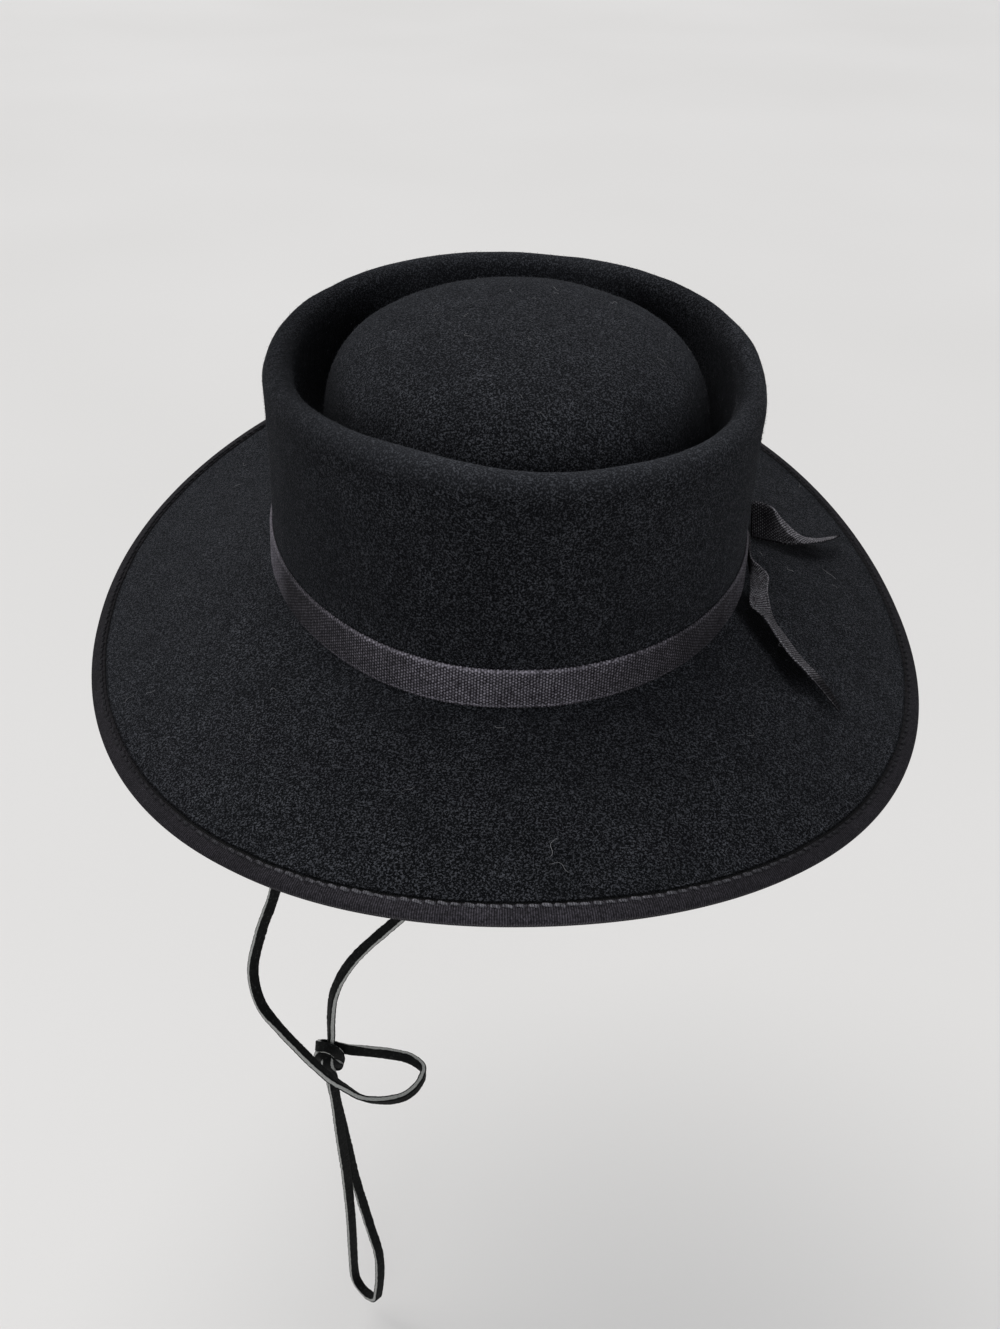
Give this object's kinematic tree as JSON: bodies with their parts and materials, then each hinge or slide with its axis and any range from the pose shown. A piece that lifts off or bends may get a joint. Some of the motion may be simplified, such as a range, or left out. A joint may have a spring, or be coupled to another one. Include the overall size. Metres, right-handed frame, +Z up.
{
  "type": "wide-brimmed felt hat with chin lace",
  "caption": "Black wool felt hat with a telescope crown, drooping bound brim, narrow ribbed band with loose ends, and a knotted leather chin lace.",
  "frame": {"origin": "middle of the head opening, on the line where the crown meets the brim: the place where a head holds the hat", "axes": "+X towards the wearer's left, +Y towards the back of the hat, +Z up through the crown"},
  "size_m": [0.3162, 0.3606, 0.5049],
  "materials": {
    "felt": "short napped wool felt, near black with a cool cast, fine lighter fibres",
    "band_tape": "grosgrain tape with fine cross ribs and a slight sheen",
    "binding_tape": "grosgrain binding folded over the brim edge, one row of slanting stitches",
    "sweatband_leather": "plain smooth dark leather",
    "lace_leather": "flat black leather lace with pale grey cut edges"
  },
  "bodies": {
    "root": {"felt_brim": "felt", "felt_crown_side": "felt", "felt_crown_top": "felt", "hat_band": "band_tape", "brim_binding": "binding_tape", "sweatband": "sweatband_leather", "band_join": "band_tape", "band_tail_upper": "band_tape", "band_tail_lower": "band_tape", "lace_left": "lace_leather", "lace_bight": "lace_leather", "lace_right": "lace_leather", "lace_knot": "lace_leather"}
  },
  "joints": []
}
